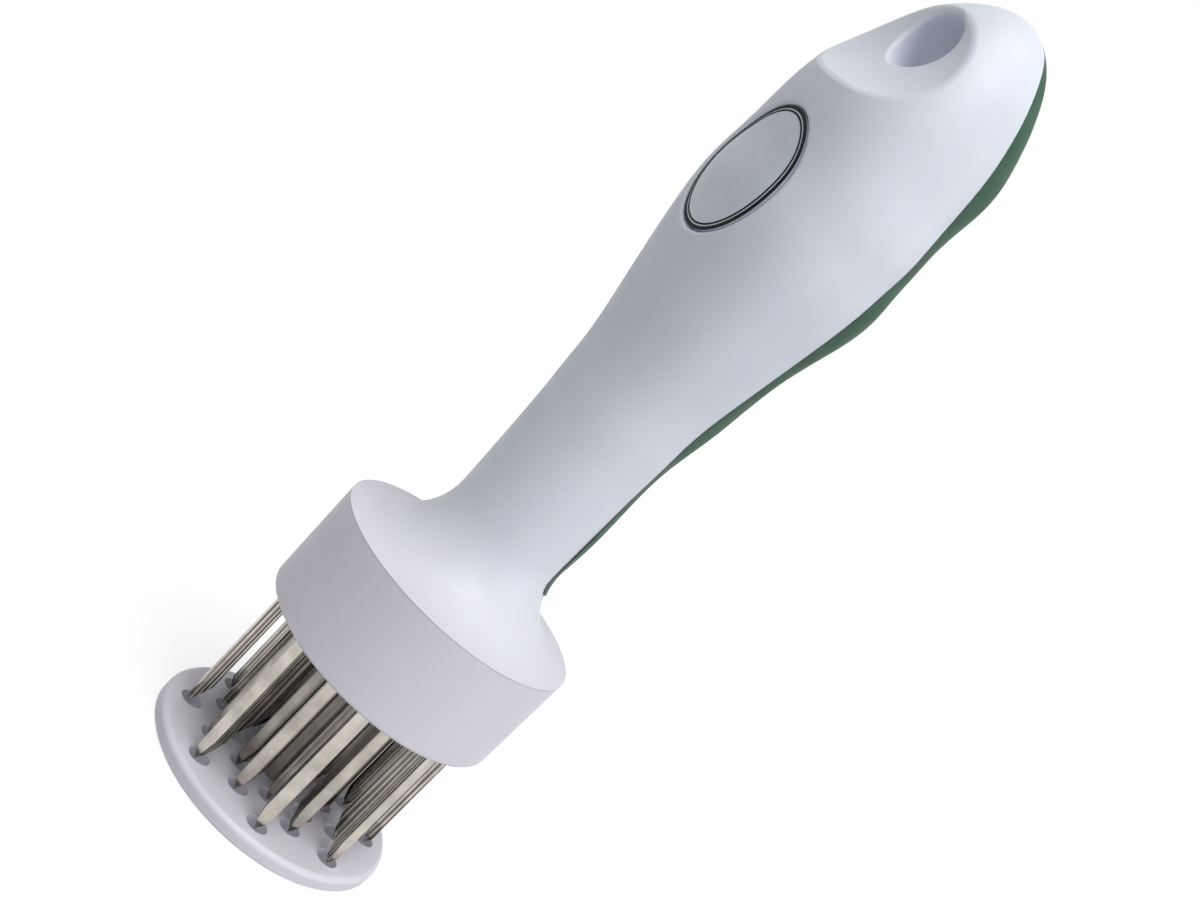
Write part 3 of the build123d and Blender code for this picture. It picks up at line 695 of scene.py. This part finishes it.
class TENDERIZER_OT_stage(bpy.types.Operator):
    """Lay the pale floor, hang the soft lamps and place the camera"""

    bl_idname = "tenderizer.stage"
    bl_label = "Studio"

    def execute(self, context):
        scene = context.scene
        studio = scene.tenderizer_studio
        scene.view_settings.view_transform = "Standard"
        self.lay_floor(scene, studio)
        self.light_world(scene, studio)
        self.hang_lamp(
            scene, "overhead_lamp", azimuth=0, elevation=90, watts=studio.overhead_power
        )
        self.hang_lamp(scene, "key_lamp", azimuth=-10, elevation=62, watts=studio.key_power)
        self.hang_lamp(scene, "side_lamp", azimuth=45, elevation=5, watts=studio.side_power)
        self.place_camera(scene, studio)
        return {"FINISHED"}

    def lay_floor(self, scene, studio):
        """A round sheet of paper under the tool."""
        shape = bmesh.new()
        bmesh.ops.create_circle(
            shape, cap_ends=True, segments=FLOOR_SIDES, radius=studio.floor_radius
        )
        mesh = bpy.data.meshes.new("studio_floor")
        shape.to_mesh(mesh)
        shape.free()
        mesh.materials.append(matt_backdrop_paper(scene.tenderizer_colours, studio))
        floor = bpy.data.objects.new("studio_floor", mesh)
        scene.collection.objects.link(floor)

    def light_world(self, scene, studio):
        """A sky that is brighter in front than behind, and plain white where it is only seen."""
        world = bpy.data.worlds.new("studio_world")
        world.use_nodes = True
        tree = world.node_tree
        tree.nodes.clear()
        direction = add_node(tree, "TexCoord").outputs["Generated"]
        facing = add_node(tree, "VectorMath", {0: direction, 1: FRONT}, operation="DOT_PRODUCT")
        level = add_node(tree, "MapRange", {
            "Value": facing,
            "From Min": DARK_FACING,
            "From Max": 1.0,
            "To Min": studio.sky_dark,
            "To Max": studio.sky_bright,
        })
        strength = add_node(
            tree, "Mix", {"Factor": white_when_seen(tree), "A": level, "B": 1.0}, data_type="FLOAT"
        )
        sky = add_node(tree, "Background", {"Color": WHITE, "Strength": strength})
        add_node(tree, "OutputWorld", {"Surface": sky})
        scene.world = world

    def hang_lamp(self, scene, name, azimuth, elevation, watts):
        """A round soft lamp in a direction in degrees, turned to the middle of the tool."""
        studio = scene.tenderizer_studio
        lamp = bpy.data.lights.new(name, "AREA")
        lamp.shape = "DISK"
        lamp.size = studio.lamp_size
        lamp.energy = watts
        holder = bpy.data.objects.new(name, lamp)
        turn = Euler((0, -math.radians(elevation), math.radians(azimuth)))
        away = turn.to_matrix() @ Vector((studio.lamp_distance, 0, 0))
        holder.location = Vector(studio.camera_aim) + away
        holder.rotation_euler = away.to_track_quat("Z", "Y").to_euler()
        scene.collection.objects.link(holder)

    def place_camera(self, scene, studio):
        """The camera, rolled so that the tool lies across the view."""
        camera = bpy.data.cameras.new("camera")
        camera.lens = studio.lens
        camera.sensor_width = SENSOR_WIDTH
        camera.clip_start = NEAREST_SEEN
        holder = bpy.data.objects.new("camera", camera)
        place, aim = Vector(studio.camera_place), Vector(studio.camera_aim)
        turn = (aim - place).to_track_quat("-Z", "Y").to_matrix()
        turn = turn @ Matrix.Rotation(studio.camera_roll, 3, "Z")
        holder.matrix_world = Matrix.Translation(place) @ turn.to_4x4()
        scene.collection.objects.link(holder)
        scene.camera = holder


class TENDERIZER_PT_panel(bpy.types.Panel):
    """Lists the pieces of the tenderizer and the studio, with their settings"""

    bl_idname = "TENDERIZER_PT_panel"
    bl_label = "Blade Meat Tenderizer"
    bl_space_type = "VIEW_3D"
    bl_region_type = "UI"
    bl_category = "Tenderizer"

    def draw(self, context):
        for operator in OPERATORS:
            self.layout.operator(operator.bl_idname)
        for group in (*settings(), context.scene.tenderizer_studio):
            column = self.layout.column(align=True)
            for name in group.__annotations__:
                column.prop(group, name)


OPERATORS = (
    TENDERIZER_OT_white_parts,
    TENDERIZER_OT_soft_grip,
    TENDERIZER_OT_badge,
    TENDERIZER_OT_blades,
    TENDERIZER_OT_carrier,
    TENDERIZER_OT_guide,
    TENDERIZER_OT_fasteners,
    TENDERIZER_OT_stage,
)
GROUPS = (TenderizerColours, TenderizerSizes, TenderizerStudio)
CLASSES = (*GROUPS, *OPERATORS, TENDERIZER_PT_panel)


def register():
    for item in CLASSES:
        bpy.utils.register_class(item)
    bpy.types.Scene.tenderizer_colours = PointerProperty(type=TenderizerColours)
    bpy.types.Scene.tenderizer_sizes = PointerProperty(type=TenderizerSizes)
    bpy.types.Scene.tenderizer_studio = PointerProperty(type=TenderizerStudio)


def unregister():
    del bpy.types.Scene.tenderizer_studio
    del bpy.types.Scene.tenderizer_sizes
    del bpy.types.Scene.tenderizer_colours
    for item in reversed(CLASSES):
        bpy.utils.unregister_class(item)


def main():
    """Make every piece and the studio."""
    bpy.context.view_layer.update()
    register()
    bpy.ops.tenderizer.white_parts()
    bpy.ops.tenderizer.soft_grip()
    bpy.ops.tenderizer.badge()
    bpy.ops.tenderizer.blades()
    bpy.ops.tenderizer.carrier()
    bpy.ops.tenderizer.guide()
    bpy.ops.tenderizer.fasteners()
    bpy.ops.tenderizer.stage()
    bpy.context.view_layer.update()


if __name__ == "__main__":
    main()
